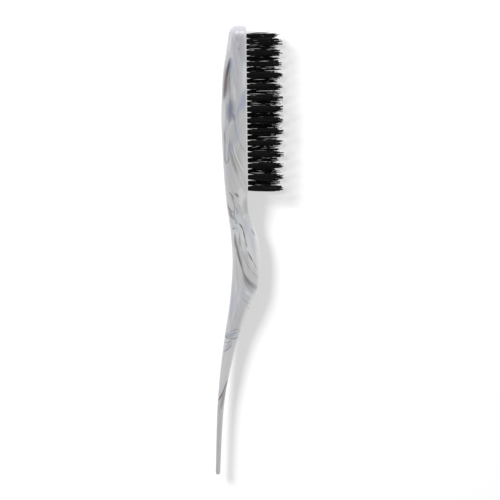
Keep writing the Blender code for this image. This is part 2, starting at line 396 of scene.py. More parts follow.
class HandleForm:
    """The handle's outline as three smooth rails, and its section at any height."""

    def __init__(self, sizes: BrushSizes) -> None:
        """Sets up the rails.

        Args:
            sizes: the brush's sizes.
        """
        self.sizes = s = sizes
        handle, head = s.handle_length, s.head_length
        grip_back = s.grip_swell - s.grip_depth
        tail_back = -s.tail_set_back - s.tail_thickness
        shoulder = (s.grip_swell - s.tail_set_back) / 2 - 0.6
        narrow, wide = s.neck_width / 2, s.half_width
        self.back = (
            (0.0, tail_back),
            (0.22 * handle, tail_back + 1.05),
            (0.39 * handle, tail_back + 3.0),
            (0.51 * handle, shoulder - s.shoulder_depth),
            (0.66 * handle, grip_back - 1.2),
            (0.79 * handle, grip_back),
            (0.89 * handle, grip_back - 0.7),
            (handle, -s.neck_depth),
            (handle + 0.17 * head, -s.neck_depth - 0.55 * (s.head_depth - s.neck_depth)),
            (handle + 0.48 * head, -s.head_depth),
            (handle + 0.70 * head, -s.head_depth + 0.85),
            (s.total - s.tip_back_length, -s.tip_back_depth),
        )
        self.front = (
            (0.0, -s.tail_set_back),
            (0.15 * handle, -s.tail_set_back + 1.1),
            (0.27 * handle, -s.tail_set_back + 2.6),
            (0.39 * handle, shoulder - 4.3),
            (0.51 * handle, shoulder),
            (0.63 * handle, s.grip_swell - 4.2),
            (0.70 * handle, s.grip_swell - 0.9),
            (0.80 * handle, s.grip_swell),
            (0.85 * handle, s.grip_swell - 0.6),
            (0.93 * handle, s.grip_swell - 3.85),
            (0.985 * handle, 0.1),
            (handle, 0.0),
        )
        self.width = (
            (0.0, s.tail_width / 2),
            (0.22 * handle, s.tail_width / 2 + 0.3),
            (0.39 * handle, s.shoulder_width / 2 - 1.1),
            (0.51 * handle, s.shoulder_width / 2),
            (0.66 * handle, s.grip_width / 2 - 0.5),
            (0.78 * handle, s.grip_width / 2),
            (0.88 * handle, narrow + 0.3),
            (0.95 * handle, narrow),
            (handle, (narrow + wide) / 2 - 0.2),
            (handle + 0.06 * head, wide - 0.35),
            (handle + 0.12 * head, wide),
            (handle + 0.30 * head, wide),
        )

    @staticmethod
    def on_rail(rail: Sequence[Point], height: float) -> float:
        """Reads a rail on a smooth curve that doesn't overshoot its points.

        Args:
            rail: the rail's heights and values.
            height: where to read it.

        Returns:
            Its value there.
        """
        if height <= rail[0][0]:
            return rail[0][1]
        if height >= rail[-1][0]:
            return rail[-1][1]
        slopes = [(v1 - v0) / (h1 - h0) for (h0, v0), (h1, v1) in zip(rail, rail[1:])]
        tangents = [slopes[0]]
        for below, above in zip(slopes, slopes[1:]):
            tangents.append(2 * below * above / (below + above) if below * above > 0 else 0.0)
        tangents.append(slopes[-1])
        i = max(n for n, (h, _) in enumerate(rail[:-1]) if h <= height)
        (h0, v0), (h1, v1) = rail[i], rail[i + 1]
        span = h1 - h0
        t = (height - h0) / span
        ease = t * t * (3 - 2 * t)
        pull = tangents[i] * (1 - t) - tangents[i + 1] * t
        return v0 * (1 - ease) + v1 * ease + span * t * (1 - t) * pull

    @staticmethod
    def turned_over(height: float, end: float, radius: float) -> float:
        """How much of a section is left near a rounded end: 1 before it and 0 at its tip."""
        t = min(1.0, max(0.0, (height - (end - radius)) / radius))
        return math.sqrt(max(0.0, 1 - t * t))

    def limits(self, height: float) -> Triple:
        """Works out how far the section at a height reaches.

        Args:
            height: Y of the section.

        Returns:
            Its back X, its front X and its half width.
        """
        s = self.sizes
        back = self.on_rail(self.back, height)
        front = self.on_rail(self.front, height)
        half = self.on_rail(self.width, height) * self.turned_over(height, s.total, s.half_width)
        front -= s.tip_front_radius * (1 - self.turned_over(height, s.total, s.tip_front_radius))
        back += s.tip_back_depth / 2 * (1 - self.turned_over(height, s.total, s.tip_back_length))
        left = self.turned_over(-height, 0.0, s.tail_thickness / 2)
        middle = (back + front) / 2
        return middle + (back - middle) * left, middle + (front - middle) * left, half * left

    def section(self, height: float, sides: int) -> list[Point]:
        """The section at a height, as X and Z, once round from the middle of the bristle face.

        Args:
            height: Y of the section.
            sides: how many points go round it, a multiple of 24.

        Returns:
            sides + 1 points, of which the last repeats the first.
        """
        s = self.sizes
        back, front, half = self.limits(height)
        depth = front - back
        edge = min(s.face_edge_radius, 0.45 * half, 0.2 * depth)
        cheek = front - min(s.cheek_depth, 0.6 * depth)
        flat = smooth_step(0.91 * s.handle_length, s.handle_length, height)
        points = []
        for n in range(sides // 2 + 1):
            # Twelfths of half the ring: to 1 the face, to 4 its rounded edge, to 5 the cheek, then the back
            share = 12 * n / (sides // 2)
            if share <= 1:
                head = (front, (half - edge) * share)
            elif share <= 4:
                turn = math.pi / 2 * (share - 1) / 3
                head = (front - edge + edge * math.cos(turn), half - edge + edge * math.sin(turn))
            elif share <= 5:
                head = (front - edge + (cheek - front + edge) * (share - 4), half)
            else:
                turn = math.pi / 2 * (share - 5) / 7
                head = (cheek - (cheek - back) * math.sin(turn), half * math.cos(turn))
            turn = math.pi * share / 12
            middle = (front + back) / 2
            oval = (middle + (front - middle) * math.cos(turn), half * math.sin(turn))
            points.append(tuple(o + (h - o) * flat for o, h in zip(oval, head)))
        return points + [(x, -z) for x, z in reversed(points[:-1])]


# ------------------------------------------------------------------------------------------- finishes


class Pigment(Enum):
    """Colours that were stirred into the handle's plastic."""

    INK = "#232328"
    INDIGO = "#35344e"
    PLUM = "#5b4d50"
    UMBER = "#8b8581"
    SLATE = "#777c8e"
    BLUE = "#8b96ac"
    SKY = "#a9b1c1"
    SMOKE = "#7d7c82"
    MOSS = "#a6aaa2"
    MILK = "#e2e2e1"


@dataclass(frozen=True)
class Vein:
    """A streak of pigment, drawn as an arc through three places on the upper cheek."""

    start: Point
    through: Point
    end: Point
    half_width: float
    pigment: Pigment
    strength: float

    def reading(self) -> dict[str, float]:
        """Works out how a place turns to a share along the arc's chord and to mm off it.

        Returns:
            The vein group's inputs by name.
        """
        start, through, end = (Vector(place) for place in (self.start, self.through, self.end))
        middle = (start + end) / 2
        half = (end - start).length / 2
        run = (end - start).normalized()
        side = Vector((-run.y, run.x))
        rise = through - middle
        share = rise.dot(run) / half
        return {
            "Along X": run.x / half,
            "Along Y": run.y / half,
            "Along Start": -middle.dot(run) / half,
            "Across X": side.x,
            "Across Y": side.y,
            "Across Start": -middle.dot(side),
            "Bow": rise.dot(side) / max(0.2, 1 - share * share),
            "Half Width": self.half_width,
        }


@dataclass(frozen=True)
class Cloud:
    """A soft cloud or streak of pigment: size in mm across, along and through the melt.

    It starts to show where a noise passes the level start, and shows in full at the level full.
    """

    size: Triple
    start: float
    full: float
    pigment: Pigment
    strength: float


@dataclass(frozen=True)
class Threads:
    """Curling threads of pigment, on the lines where a noise is at its middle level."""

    scale: Triple  # noise steps per mm
    seed: Triple
    pigment: Pigment
    strength: float


@dataclass(frozen=True)
class SideToneAndHighlight:
    """Paler colour towards one side, from -6 at the back to 6 at the front; narrow ones are painted
    highlights.
    """

    start: float
    full: float
    colour: str
    strength: float


@dataclass(frozen=True)
class MarbledStyrene:
    """Moulded styrene with pigments half stirred in: soft pale streaks that run with the melt.

    The mould's polish gives it a clear gloss, a little uneven where the melt cooled.
    """

    name: str = "marbled_styrene"
    roughness: float = 0.24
    rubbed: float = 0.12  # how much rougher it is where hands have rubbed it
    ior: float = 1.55
    vein_waver: float = 0.4  # mm that the veins waver by on the upper cheek
    deep_waver: float = 9.0  # and vein_depth below the middle
    vein_depth: float = 8.0
    thread_width: float = 0.014  # levels of the noise on each side of a thread's middle
    clouds: tuple[Cloud, ...] = (
        Cloud((5.0, 24.0, 8.0), 0.50, 0.70, Pigment.SKY, 0.40),
        Cloud((6.5, 30.0, 9.0), 0.52, 0.70, Pigment.MILK, 0.28),
        Cloud((3.4, 26.0, 6.0), 0.54, 0.72, Pigment.MOSS, 0.35),
        Cloud((1.3, 30.0, 4.0), 0.52, 0.68, Pigment.SLATE, 0.22),
        Cloud((0.9, 34.0, 3.0), 0.52, 0.66, Pigment.MILK, 0.20),
    )
    threads: tuple[Threads, ...] = (
        Threads((0.10, 0.032, 0.10), (3.0, 9.0, 4.0), Pigment.SMOKE, 0.75),
        Threads((0.13, 0.045, 0.14), (8.0, 2.0, 6.0), Pigment.SLATE, 0.65),
    )
    side_tones_and_highlights: tuple[SideToneAndHighlight, ...] = (
        # Painted highlight along the rounded back edge, where it turns away
        SideToneAndHighlight(-5.0, -6.0, "#cfcbc8", 0.5),
        # Paler front half, rising towards the front
        SideToneAndHighlight(0.5, 5.0, "#e2e3e2", 0.2),
        # Painted highlight along the rounded edge of the bristle face
        SideToneAndHighlight(5.2, 5.8, "#e6e8e8", 0.75),
    )
    # Colour of the body along the brush, from the tip of the tail to the tip of the head
    drift: tuple[tuple[float, str], ...] = (
        (0.00, "#acacad"),
        (0.04, "#b4b2b5"),
        (0.12, "#b8b7bb"),
        (0.20, "#c5c4c8"),
        (0.27, "#cbcacc"),
        (0.33, "#bcbbbf"),
        (0.40, "#bebec3"),
        (0.46, "#c0bfc0"),
        (0.53, "#cdcecf"),
        (0.59, "#c3c4c6"),
        (0.64, "#bcbbba"),
        (0.72, "#b2b2b3"),
        (0.80, "#b3b3b6"),
        (0.90, "#b0b0b4"),
        (0.965, "#b5b5bb"),
        # Painted reflection: the last stop makes the rounded tip of the head paler
        (1.00, "#d0d0da"),
    )
    veins: tuple[Vein, ...] = (
        # Tip: a grey wedge with its point down, and a painted highlight behind it where the back turns
        Vein((-3.5, 222.1), (-3.6, 219.6), (-4.0, 216.6), 1.7, Pigment.SMOKE, 0.28),
        Vein((-5.5, 221.6), (-5.1, 218.9), (-4.1, 216.0), 0.4, Pigment.SMOKE, 0.6),
        Vein((-1.6, 221.1), (-2.8, 218.4), (-4.1, 216.0), 0.35, Pigment.SMOKE, 0.35),
        Vein((-7.3, 222.4), (-8.5, 220.1), (-9.1, 216.6), 0.35, Pigment.SMOKE, 0.45),
        # Painted highlight: the pale band where the rounded back turns away near the tip
        Vein((-7.5, 220.6), (-8.0, 216.6), (-8.6, 211.1), 0.8, Pigment.MILK, 0.6),
        Vein((-4.5, 213.7), (-3.9, 213.0), (-3.3, 212.2), 0.5, Pigment.SLATE, 0.8),
        # Indigo stroke that turns brown, and what bled from it
        Vein((-10.1, 204.6), (-10.6, 195.6), (-11.3, 188.1), 2.8, Pigment.UMBER, 0.95),
        Vein((-7.5, 209.1), (-7.7, 206.1), (-8.1, 202.1), 1.3, Pigment.BLUE, 0.8),
        Vein((-8.1, 208.9), (-9.2, 203.6), (-10.3, 197.1), 1.25, Pigment.INDIGO, 1.0),
        Vein((-9.9, 202.6), (-10.7, 194.6), (-11.7, 187.2), 1.4, Pigment.PLUM, 0.95),
        Vein((-8.1, 205.6), (-8.7, 197.6), (-8.5, 189.1), 0.65, Pigment.SMOKE, 0.85),
        Vein((-8.5, 190.6), (-8.4, 186.6), (-8.1, 182.1), 0.9, Pigment.SMOKE, 0.55),
        # Soft colour in the upper half of the head
        Vein((-6.3, 209.1), (-6.2, 203.6), (-6.9, 197.6), 1.5, Pigment.SKY, 0.7),
        Vein((-5.3, 207.6), (-5.0, 198.6), (-5.5, 189.6), 0.5, Pigment.SMOKE, 0.25),
        Vein((-3.2, 208.6), (-3.0, 200.1), (-3.5, 192.6), 0.6, Pigment.SKY, 0.5),
        Vein((-6.4, 195.6), (-6.2, 190.6), (-5.9, 185.6), 1.3, Pigment.MILK, 0.35),
        Vein((-0.5, 192.1), (-1.7, 187.1), (-3.8, 182.1), 2.6, Pigment.BLUE, 0.85),
        Vein((-0.5, 189.1), (-1.0, 187.1), (-1.7, 185.1), 0.8, Pigment.SLATE, 0.6),
        Vein((-0.2, 194.0), (-0.8, 187.5), (-2.4, 180.5), 3.6, Pigment.BLUE, 0.6),
        Vein((-1.6, 221.5), (-1.8, 214.0), (-1.0, 205.0), 2.6, Pigment.SLATE, 0.3),
        Vein((-3.3, 186.1), (-4.6, 182.1), (-5.0, 178.1), 0.9, Pigment.BLUE, 0.6),
        Vein((-11.3, 187.6), (-11.7, 180.1), (-11.5, 172.0), 1.2, Pigment.MILK, 0.4),
        Vein((-1.4, 207.0), (-1.2, 199.0), (-1.8, 191.5), 1.5, Pigment.MILK, 0.5),
        # Slate cloud and the lines that run down from it
        Vein((-8.1, 188.1), (-8.4, 182.3), (-8.7, 176.1), 2.8, Pigment.SLATE, 1.0),
        Vein((-8.1, 181.6), (-6.8, 179.1), (-6.3, 176.3), 1.3, Pigment.SLATE, 0.8),
        Vein((-8.8, 178.6), (-9.0, 177.1), (-9.0, 174.5), 0.5, Pigment.SMOKE, 0.65),
        Vein((-6.4, 177.6), (-5.7, 172.0), (-3.7, 165.5), 0.5, Pigment.SLATE, 0.75),
        Vein((-5.4, 176.6), (-4.8, 170.5), (-3.1, 164.0), 1.4, Pigment.SKY, 0.6),
        Vein((-4.0, 167.3), (-3.0, 164.0), (-0.9, 161.5), 0.5, Pigment.SLATE, 0.7),
        # Loop at the back, and the sweep towards the bristles
        Vein((-11.2, 172.5), (-11.3, 169.0), (-11.0, 165.0), 0.7, Pigment.SMOKE, 0.95),
        Vein((-11.1, 168.0), (-11.4, 162.0), (-11.1, 156.5), 0.6, Pigment.SMOKE, 0.8),
        Vein((-11.4, 160.0), (-11.1, 156.8), (-10.3, 155.4), 0.6, Pigment.SMOKE, 1.0),
        Vein((-10.6, 155.4), (-9.8, 156.9), (-9.4, 160.0), 0.6, Pigment.SMOKE, 0.9),
        Vein((-9.6, 158.5), (-9.1, 164.0), (-8.6, 169.0), 0.5, Pigment.SLATE, 0.8),
        Vein((-7.8, 167.0), (-8.4, 163.0), (-8.6, 159.0), 0.9, Pigment.BLUE, 0.6),
        Vein((-8.7, 162.0), (-7.2, 156.5), (-5.2, 150.0), 1.4, Pigment.UMBER, 0.8),
        Vein((-7.9, 166.0), (-6.3, 159.0), (-3.4, 152.0), 0.5, Pigment.SMOKE, 0.6),
        Vein((-7.1, 166.0), (-5.3, 158.5), (-1.1, 150.2), 0.6, Pigment.MILK, 0.5),
        Vein((-6.5, 166.5), (-4.6, 158.5), (-1.1, 152.3), 0.4, Pigment.SLATE, 0.4),
        Vein((-9.4, 155.0), (-8.4, 150.0), (-7.5, 145.5), 1.2, Pigment.SKY, 0.3),
        Vein((-3.8, 144.0), (-3.2, 138.0), (-2.2, 131.5), 3.2, Pigment.MILK, 0.6),
        # Swirl at the heel
        Vein((-9.7, 141.7), (-8.3, 140.1), (-7.1, 137.3), 0.5, Pigment.INK, 0.6),
        Vein((-7.4, 138.0), (-6.8, 134.5), (-6.9, 130.5), 0.5, Pigment.SLATE, 0.7),
        Vein((-8.8, 139.8), (-7.8, 138.0), (-7.3, 135.5), 0.4, Pigment.UMBER, 0.6),
        Vein((-6.9, 141.1), (-5.8, 140.2), (-4.6, 138.5), 1.0, Pigment.SLATE, 1.0),
        Vein((-10.3, 136.4), (-9.4, 133.0), (-7.1, 130.8), 0.75, Pigment.PLUM, 0.8),
        Vein((-7.8, 133.0), (-7.0, 131.2), (-7.2, 128.7), 0.5, Pigment.INK, 0.5),
        Vein((-9.7, 133.0), (-8.6, 130.0), (-7.1, 127.4), 1.2, Pigment.UMBER, 1.0),
        Vein((-6.3, 134.2), (-5.5, 132.0), (-5.5, 129.5), 0.45, Pigment.SMOKE, 0.75),
        Vein((-5.0, 135.5), (-4.2, 134.2), (-3.5, 132.5), 0.45, Pigment.UMBER, 0.5),
        # Pale front of the grip, and the blue behind its foot
        Vein((1.6, 129.0), (4.6, 114.0), (4.2, 99.0), 2.6, Pigment.MILK, 0.7),
        Vein((-2.0, 122.0), (0.6, 113.0), (2.6, 103.0), 2.4, Pigment.MILK, 0.45),
        Vein((-0.4, 127.5), (1.2, 119.0), (2.6, 109.5), 2.6, Pigment.SKY, 0.4),
        Vein((3.6, 92.5), (-0.6, 83.0), (-4.9, 72.5), 2.3, Pigment.MILK, 0.8),
        Vein((-5.8, 64.5), (-8.6, 56.0), (-11.3, 46.5), 1.0, Pigment.MILK, 0.6),
        Vein((-7.6, 97.0), (-8.6, 88.0), (-10.2, 77.0), 2.2, Pigment.BLUE, 0.4),
        # Neck
        Vein((-0.9, 139.0), (-1.3, 134.7), (-0.7, 130.0), 2.5, Pigment.MOSS, 0.9),
        Vein((-7.3, 130.5), (-6.3, 127.2), (-5.2, 124.9), 1.2, Pigment.BLUE, 0.75),
        # Painted highlight: the small bright spot on the bulge of the neck
        Vein((-1.9, 130.0), (-1.9, 128.9), (-1.9, 127.8), 0.5, Pigment.MILK, 1.0),
        Vein((-7.2, 125.8), (-6.6, 125.9), (-6.0, 126.2), 0.3, Pigment.SMOKE, 0.6),
        Vein((-8.2, 122.9), (-7.4, 123.1), (-6.6, 123.8), 0.45, Pigment.INK, 0.85),
        Vein((-7.2, 124.9), (-6.0, 123.2), (-4.9, 121.4), 1.5, Pigment.SKY, 0.6),
        Vein((1.3, 123.4), (2.2, 121.4), (3.3, 119.0), 0.65, Pigment.BLUE, 1.0),
        Vein((1.5, 122.9), (2.2, 121.4), (2.9, 119.9), 0.35, Pigment.INDIGO, 0.5),
        # Black line down the grip, with a pale flank and a break in it
        Vein((-3.4, 122.9), (-3.1, 119.9), (-2.4, 115.9), 0.7, Pigment.MILK, 0.6),
        Vein((-5.0, 126.1), (-3.4, 124.2), (-2.5, 121.9), 0.5, Pigment.INK, 1.0),
        Vein((-2.8, 123.2), (-2.2, 120.4), (-1.6, 117.1), 0.5, Pigment.INK, 0.9),
        Vein((-1.8, 118.4), (-1.3, 115.7), (-0.7, 112.9), 0.45, Pigment.PLUM, 0.75),
        Vein((-0.8, 114.2), (-0.6, 112.9), (-0.4, 111.6), 0.4, Pigment.MILK, 0.95),
        Vein((-0.4, 111.7), (0.9, 108.7), (2.5, 105.7), 0.5, Pigment.INK, 0.95),
        Vein((2.1, 106.5), (3.1, 104.7), (4.1, 102.4), 0.45, Pigment.SMOKE, 0.7),
        # Long arcs round the grip
        Vein((-6.6, 121.2), (-6.6, 116.9), (-5.7, 112.0), 1.0, Pigment.SLATE, 1.0),
        Vein((-6.1, 115.4), (-4.8, 108.4), (-2.7, 101.4), 1.1, Pigment.SMOKE, 1.0),
        Vein((-3.5, 104.4), (-1.2, 98.2), (4.4, 94.5), 0.9, Pigment.SMOKE, 1.0),
        Vein((-6.3, 117.0), (-5.0, 109.0), (-2.6, 101.4), 0.45, Pigment.PLUM, 0.7),
        Vein((-5.3, 119.4), (-4.8, 111.9), (-2.7, 103.9), 1.5, Pigment.UMBER, 0.4),
        Vein((-4.4, 122.4), (-4.5, 118.4), (-3.5, 112.9), 0.5, Pigment.UMBER, 0.8),
        Vein((-3.7, 113.9), (-2.0, 107.7), (1.2, 102.0), 0.55, Pigment.UMBER, 0.65),
        Vein((0.8, 102.7), (2.7, 100.2), (5.3, 98.4), 0.6, Pigment.UMBER, 0.55),
        # Brown wash where the arcs meet the front
        Vein((-2.8, 101.4), (-0.0, 95.8), (4.7, 92.9), 2.0, Pigment.UMBER, 0.95),
        Vein((-1.2, 97.9), (1.0, 95.2), (4.5, 93.7), 0.4, Pigment.SMOKE, 0.6),
        Vein((-0.8, 95.9), (1.5, 93.4), (4.1, 91.9), 0.4, Pigment.SMOKE, 0.7),
        Vein((-2.2, 99.8), (0.4, 95.6), (4.8, 93.4), 0.9, Pigment.SMOKE, 0.75),
        Vein((-2.9, 99.1), (-0.8, 94.2), (3.5, 90.6), 0.5, Pigment.SMOKE, 0.75),
        Vein((-2.6, 92.4), (-0.3, 90.4), (2.4, 88.7), 1.5, Pigment.MILK, 0.5),
        Vein((-3.3, 89.0), (-1.4, 86.3), (1.1, 85.1), 0.5, Pigment.SLATE, 0.5),
        Vein((-1.3, 84.4), (-0.5, 83.4), (0.4, 81.9), 0.5, Pigment.SMOKE, 0.4),
        # Chevrons at the shoulder
        Vein((-13.4, 72.5), (-10.7, 69.5), (-7.2, 70.5), 2.4, Pigment.SLATE, 0.4),
        Vein((-12.1, 71.1), (-11.7, 68.9), (-9.6, 68.5), 0.45, Pigment.SMOKE, 1.0),
        Vein((-10.2, 68.4), (-8.1, 68.1), (-5.0, 70.1), 0.55, Pigment.SLATE, 0.95),
        Vein((-13.2, 66.5), (-11.2, 66.2), (-8.6, 68.6), 0.45, Pigment.SMOKE, 0.85),
        Vein((-13.7, 61.4), (-11.3, 62.8), (-8.6, 65.7), 0.6, Pigment.SMOKE, 0.85),
        Vein((-13.3, 64.1), (-11.1, 64.6), (-8.4, 67.0), 0.4, Pigment.SLATE, 0.55),
        Vein((-10.6, 71.3), (-8.1, 72.4), (-4.3, 72.9), 0.5, Pigment.SLATE, 0.65),
        Vein((-11.1, 69.7), (-8.5, 70.7), (-4.6, 71.5), 0.4, Pigment.SLATE, 0.6),
        Vein((-11.5, 70.0), (-8.6, 70.0), (-5.0, 70.8), 1.0, Pigment.SKY, 0.5),
        # Line down the front of the tail
        Vein((-11.5, 45.0), (-13.4, 39.0), (-14.9, 32.0), 1.4, Pigment.UMBER, 0.9),
        Vein((-10.9, 48.2), (-12.2, 45.0), (-13.9, 41.2), 0.55, Pigment.INK, 0.85),
        Vein((-13.0, 43.0), (-14.6, 39.6), (-16.5, 36.4), 0.6, Pigment.PLUM, 1.0),
        Vein((-16.1, 36.3), (-15.8, 32.8), (-15.1, 29.3), 0.7, Pigment.UMBER, 0.3),
    )

    @staticmethod
    def _vein_group() -> Tree:
        """Makes the node group that draws a vein: 1 on the arc, fading to 0 at its sides and ends.

        Returns:
            The group. It takes plain numbers only, which keeps a hundred veins within the shader's room.
        """
        group = bpy.data.node_groups.new("vein", "ShaderNodeTree")
        sides = [f"{way} {part}" for way in ("Along", "Across") for part in ("X", "Y", "Start")]
        for name in ("X", "Y", *sides, "Bow", "Half Width"):
            group.interface.new_socket(name, in_out="INPUT", socket_type="NodeSocketFloat")
        group.interface.new_socket("Mask", in_out="OUTPUT", socket_type="NodeSocketFloat")
        steps = (
            ("along from x", "MULTIPLY_ADD", ("X", "Along X", "Along Start")),
            ("along", "MULTIPLY_ADD", ("Y", "Along Y", "along from x")),
            ("squared", "MULTIPLY", ("along", "along")),
            ("left over", "SUBTRACT", (1.0, "squared")),
            ("inside", "MAXIMUM", ("left over", 0.0)),
            ("arc", "MULTIPLY", ("inside", "Bow")),
            ("across from x", "MULTIPLY_ADD", ("X", "Across X", "Across Start")),
            ("across", "MULTIPLY_ADD", ("Y", "Across Y", "across from x")),
            ("off the arc", "SUBTRACT", ("across", "arc")),
            ("distance", "ABSOLUTE", ("off the arc",)),
            ("taper", "SQRT", ("inside",)),
            ("width", "MULTIPLY_ADD", ("taper", "Half Width", 0.02)),
        )
        known = {socket.name: socket for socket in wire(group, "NodeGroupInput", {}).node.outputs}
        for name, operation, reads in steps:
            inputs = {number: known.get(read, read) for number, read in enumerate(reads)}
            known[name] = wire(group, "ShaderNodeMath", inputs, operation=operation)
        fade = {"Value": known["distance"], "From Min": known["width"], "From Max": 0.0}
        core = wire(group, "ShaderNodeMapRange", fade, **SMOOTH)
        mask = wire(group, "ShaderNodeMath", {0: core, 1: known["taper"]}, operation="MULTIPLY")
        wire(group, "NodeGroupOutput", {"Mask": mask})
        return group

    def material(self, datum: Datum, sizes: BrushSizes) -> Material:
        """Builds the material.

        Args:
            datum: the brush's zero in the frame.
            sizes: the brush's sizes.

        Returns:
            The material, which reads Object coordinates and the handle's melt attribute.
        """
        made, inputs = begin_material(self.name, {"IOR": self.ior})
        tree = made.node_tree
        spot = wire(tree, "ShaderNodeTexCoord", {}, "Object")
        to_mm = {"Vector": spot, "Scale": (1 / MM,) * 3, "Location": -datum.zero / MM}
        place = wire(tree, "ShaderNodeMapping", to_mm)
        melt = wire(tree, "ShaderNodeAttribute", {}, "Vector", attribute_name="melt")
        colour = self._body(tree, place, sizes)
        for amount, shade in self._layers(tree, place, melt):
            mixed = {SHARE: amount, UNDER: colour, OVER: linear(shade)}
            colour = wire(tree, "ShaderNodeMix", mixed, MIXED, data_type="RGBA")
        tree.links.new(colour, inputs["Base Color"])
        tree.links.new(self._gloss(tree, place), inputs["Roughness"])
        tree.links.new(self._relief(tree, place), inputs["Normal"])
        return made

    def _body(self, tree: Tree, place: Socket, sizes: BrushSizes) -> Socket:
        """Draws the pale body colour, which drifts along the brush.

        Args:
            tree: the material's tree.
            place: the place on the brush, in mm.
            sizes: the brush's sizes.

        Returns:
            The colour.
        """
        length = wire(tree, "ShaderNodeSeparateXYZ", {0: place}, "Y")
        share = wire(tree, "ShaderNodeMath", {0: length, 1: sizes.total}, operation="DIVIDE")
        colour = wire(tree, "ShaderNodeValToRGB", {0: share})
        stops = colour.node.color_ramp.elements
        for at, _ in self.drift[1:-1]:
            stops.new(at)
        for stop, (at, shade) in zip(stops, self.drift):
            stop.position = at
            stop.color = linear(shade)
        return colour

    def _layers(self, tree: Tree, place: Socket, melt: Socket) -> Iterator[Layer]:
        """Draws what lies over the body colour, from the bottom up.

        Args:
            tree: the material's tree.
            place: the place on the brush, in mm.
            melt: the place in the flow of the melt.

        Yields:
            Each layer, before the next one's nodes are made.
        """
        yield from self._clouded(tree, melt)
        yield from self._threaded(tree, place)
        yield from self._veined(tree, place)
        yield from self._side_toned_and_highlighted(tree, melt)

    def _clouded(self, tree: Tree, melt: Socket) -> Iterator[Layer]:
        """Draws the clouds, which sway a few millimetres across as they run along the brush.

        Args:
            tree: the material's tree.
            melt: the place in the flow of the melt.

        Yields:
            Each cloud.
        """
        slow = wire(tree, "ShaderNodeMapping", {"Vector": melt, "Scale": (0.05, 0.03, 0.08)})
        sway = wire(tree, "ShaderNodeTexNoise", {"Vector": slow, "Scale": 1.0, "Detail": 1.0}, "Color")
        even = wire(tree, "ShaderNodeVectorMath", {0: sway, 1: (0.5,) * 3}, operation="SUBTRACT")
        reach = wire(tree, "ShaderNodeVectorMath", {0: even, 1: (16.0, 0.0, 8.0)}, operation="MULTIPLY")
        melt = wire(tree, "ShaderNodeVectorMath", {0: melt, 1: reach}, operation="ADD")
        grain = {"Scale": 1.0, "Detail": 3.0, "Roughness": 0.5, "Distortion": 0.6}
        for number, cloud in enumerate(self.clouds):
            scale = tuple(1 / side for side in cloud.size)
            apart = (7.3 * number, 3.1 * number, 5.7 * number)
            spread = wire(tree, "ShaderNodeMapping", {"Vector": melt, "Scale": scale, "Location": apart})
            level = wire(tree, "ShaderNodeTexNoise", {"Vector": spread, **grain})
            ramp = {"From Min": cloud.start, "From Max": cloud.full, "To Max": cloud.strength}
            amount = wire(tree, "ShaderNodeMapRange", {"Value": level, **ramp}, **SMOOTH)
            yield amount, cloud.pigment.value

    def _threaded(self, tree: Tree, place: Socket) -> Iterator[Layer]:
        """Draws fine dark threads that curl through the plastic, mostly below the upper cheek.

        Args:
            tree: the material's tree.
            place: the place on the brush, in mm.

        Yields:
            Each kind of thread.
        """
        through = wire(tree, "ShaderNodeSeparateXYZ", {0: place}, "Z")
        grain = {"Scale": 1.0, "Detail": 2.5, "Roughness": 0.45, "Distortion": 0.9}
        for kind in self.threads:
            size = {"Scale": kind.scale, "Location": kind.seed}
            spread = wire(tree, "ShaderNodeMapping", {"Vector": place, **size})
            swirls = wire(tree, "ShaderNodeTexNoise", {"Vector": spread, **grain})
            level = wire(tree, "ShaderNodeMath", {0: swirls, 1: 0.5}, operation="SUBTRACT")
            height = wire(tree, "ShaderNodeMath", {0: level}, operation="ABSOLUTE")
            fade = {"From Min": self.thread_width, "From Max": 0.0}
            line = wire(tree, "ShaderNodeMapRange", {"Value": height, **fade}, **SMOOTH)
            moved = wire(tree, "ShaderNodeVectorMath", {0: spread, 1: kind.seed}, operation="ADD")
            noise = wire(tree, "ShaderNodeTexNoise", {"Vector": moved})
            patches = {"Value": noise, "From Min": 0.42, "From Max": 0.6}
            patchy = wire(tree, "ShaderNodeMapRange", patches, **SMOOTH)
            # They have almost gone 2 mm above the middle plane, and are all there 2 mm below it
            depths = {"From Min": 2.0, "From Max": -2.0, "To Min": 0.12, "To Max": kind.strength}
            deep = wire(tree, "ShaderNodeMapRange", {"Value": through, **depths})
            shown = wire(tree, "ShaderNodeMath", {0: line, 1: patchy}, operation="MULTIPLY")
            amount = wire(tree, "ShaderNodeMath", {0: shown, 1: deep}, operation="MULTIPLY")
            yield amount, kind.pigment.value

    def _veined(self, tree: Tree, place: Socket) -> Iterator[Layer]:
        """Draws the veins, which waver a little, and more with depth below the upper cheek.

        Args:
            tree: the material's tree.
            place: the place on the brush, in mm.

        Yields:
            Each vein.
        """
        through = wire(tree, "ShaderNodeSeparateXYZ", {0: place}, "Z")
        depths = {"From Min": 0.0, "From Max": -self.vein_depth}
        wavers = {"To Min": self.vein_waver, "To Max": self.deep_waver}
        reach = wire(tree, "ShaderNodeMapRange", {"Value": through, **depths, **wavers})
        spread = wire(tree, "ShaderNodeMapping", {"Vector": place, "Scale": (0.13, 0.05, 0.10)})
        noise = wire(tree, "ShaderNodeTexNoise", {"Vector": spread, "Scale": 1.0, "Detail": 2.0}, "Color")
        even = wire(tree, "ShaderNodeVectorMath", {0: noise, 1: (0.5,) * 3}, operation="SUBTRACT")
        shift = wire(tree, "ShaderNodeVectorMath", {0: even, "Scale": reach}, operation="SCALE")
        moved = wire(tree, "ShaderNodeVectorMath", {0: place, 1: shift}, operation="ADD")
        parts = wire(tree, "ShaderNodeSeparateXYZ", {0: moved}).node.outputs
        group = self._vein_group()
        for vein in self.veins:
            inputs = {"X": parts["X"], "Y": parts["Y"], **vein.reading()}
            mask = wire(tree, "ShaderNodeGroup", inputs, node_tree=group)
            amount = wire(tree, "ShaderNodeMath", {0: mask, 1: vein.strength}, operation="MULTIPLY")
            yield amount, vein.pigment.value

